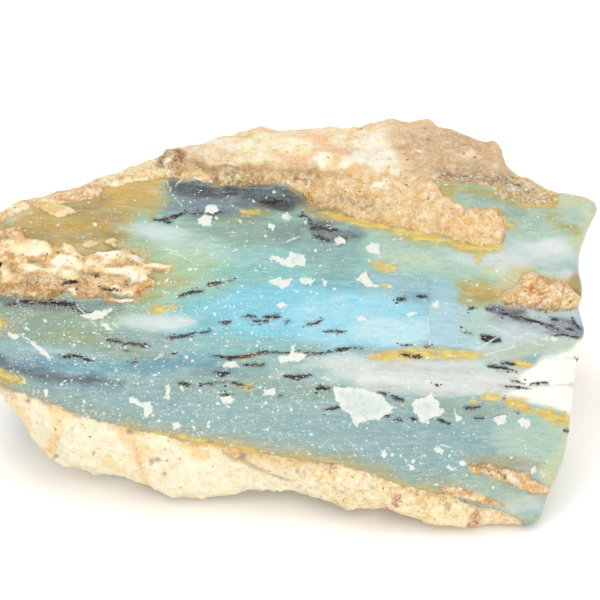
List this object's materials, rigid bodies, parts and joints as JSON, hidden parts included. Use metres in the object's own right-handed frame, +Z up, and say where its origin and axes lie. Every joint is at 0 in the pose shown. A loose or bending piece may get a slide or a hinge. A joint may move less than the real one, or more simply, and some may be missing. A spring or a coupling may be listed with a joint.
{
  "type": "rough andean opal",
  "caption": "Hand-sized rough stone: a banded blue-green opal face between crusts of sandy matrix, lying on its flat underside.",
  "frame": {"origin": "centre of the bounding box on the surface that the stone lies on", "axes": "+Z up, +X along the stone's length towards its broken right end, -Y towards the opal face"},
  "size_m": [0.0954, 0.0604, 0.0415],
  "materials": {
    "banded_opal": "satin"
  },
  "bodies": {
    "root": {"opal_stone": "banded_opal"}
  },
  "joints": []
}
